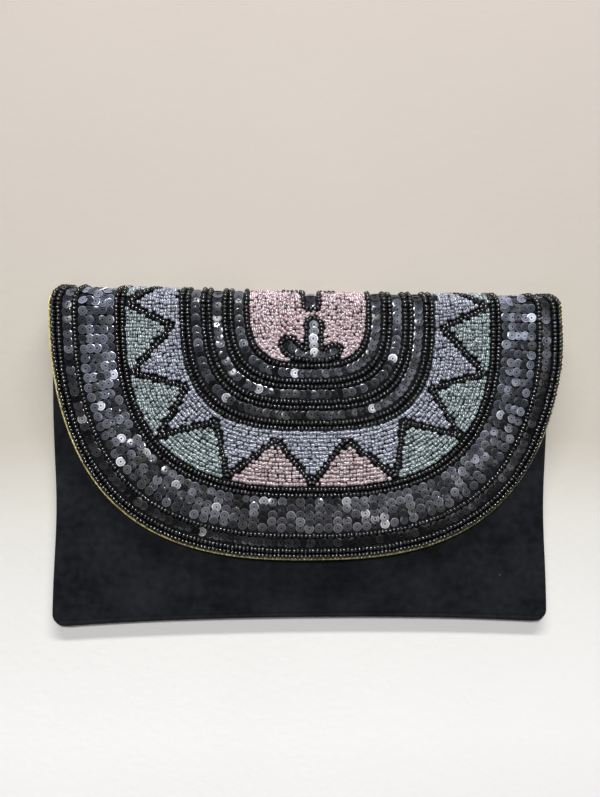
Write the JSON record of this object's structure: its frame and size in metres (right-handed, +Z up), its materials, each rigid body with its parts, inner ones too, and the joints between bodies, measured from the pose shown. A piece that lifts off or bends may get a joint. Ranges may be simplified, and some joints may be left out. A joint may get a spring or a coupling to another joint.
{
  "type": "beaded envelope clutch",
  "caption": "Flat cloth envelope clutch with a rounded fold-over flap covered in rings of beads and sequins around a zigzag of coloured cells.",
  "frame": {"origin": "middle of the footprint, on the face that the back lies on", "axes": "+X to the right seen from the front, +Y towards the fold, +Z up out of the front face; the clutch lies on its back"},
  "size_m": [0.2828, 0.1884, 0.0177],
  "materials": {
    "black_cloth": "matt black cloth with a fine weave and a little lint",
    "gold_thread": "metallic yellow gold thread",
    "snap_metal": "plain nickel",
    "black_beads": "glossy black glass seed beads",
    "grey_sequins": "smoky gunmetal sequins with a clear gloss",
    "mint_beads": "clear seed beads with a silver lining, pale mint",
    "lavender_beads": "clear seed beads with a silver lining, pale lavender",
    "pink_beads": "clear seed beads with a silver lining, pale pink"
  },
  "bodies": {
    "root": {"front_panel": "black_cloth", "back_panel": "black_cloth", "flap": "black_cloth", "gold_edging": "gold_thread", "magnetic_snap": "snap_metal", "bead_rows_rim": "black_beads", "sequin_strip_rim": "grey_sequins", "bead_row_single": "black_beads", "sequin_band": "grey_sequins", "bead_rows_outer": "black_beads", "zigzag_line": "black_beads", "lavender_field": "lavender_beads", "mint_cell_1": "mint_beads", "mint_cell_2": "mint_beads", "mint_cell_3": "mint_beads", "mint_cell_4": "mint_beads", "pink_cell_5": "pink_beads", "pink_cell_6": "pink_beads", "mint_cell_7": "mint_beads", "mint_cell_8": "mint_beads", "mint_cell_9": "mint_beads", "mint_cell_10": "mint_beads", "bead_rows_inner": "black_beads", "sequin_strip_outer": "grey_sequins", "bead_rows_third": "black_beads", "sequin_strip_middle": "grey_sequins", "bead_rows_second": "black_beads", "sequin_strip_inner": "grey_sequins", "bead_row_medallion": "black_beads", "medallion": "pink_beads", "scroll_ornament": "black_beads", "crest_ornament": "black_beads"}
  },
  "joints": []
}
